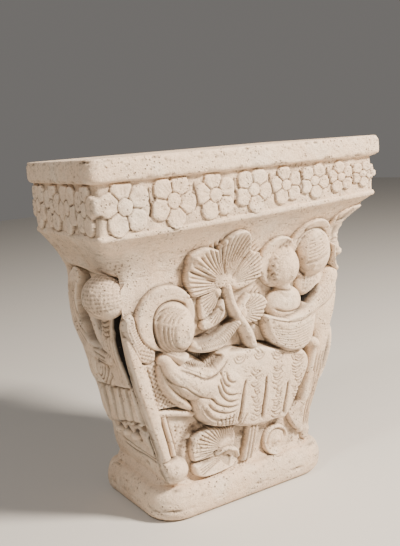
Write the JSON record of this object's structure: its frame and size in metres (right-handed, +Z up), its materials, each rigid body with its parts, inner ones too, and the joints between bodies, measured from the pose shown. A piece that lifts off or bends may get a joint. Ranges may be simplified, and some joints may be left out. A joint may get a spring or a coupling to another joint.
{
  "type": "capital",
  "caption": "Cast stone capital with a flat back: rounded foot, bell carved with figures and leaves, flower frieze and plain top band.",
  "frame": {"origin": "centre of the bounding box at the underside", "axes": "+Z up, -Y towards the carved front, +Y the flat back, +X to the right as seen from the front"},
  "size_m": [0.352, 0.188, 0.388],
  "materials": {
    "cast_stone": "matt cast stone, warm off-white, pitted and lightly soiled"
  },
  "bodies": {
    "root": {"capital": "cast_stone"}
  },
  "joints": []
}
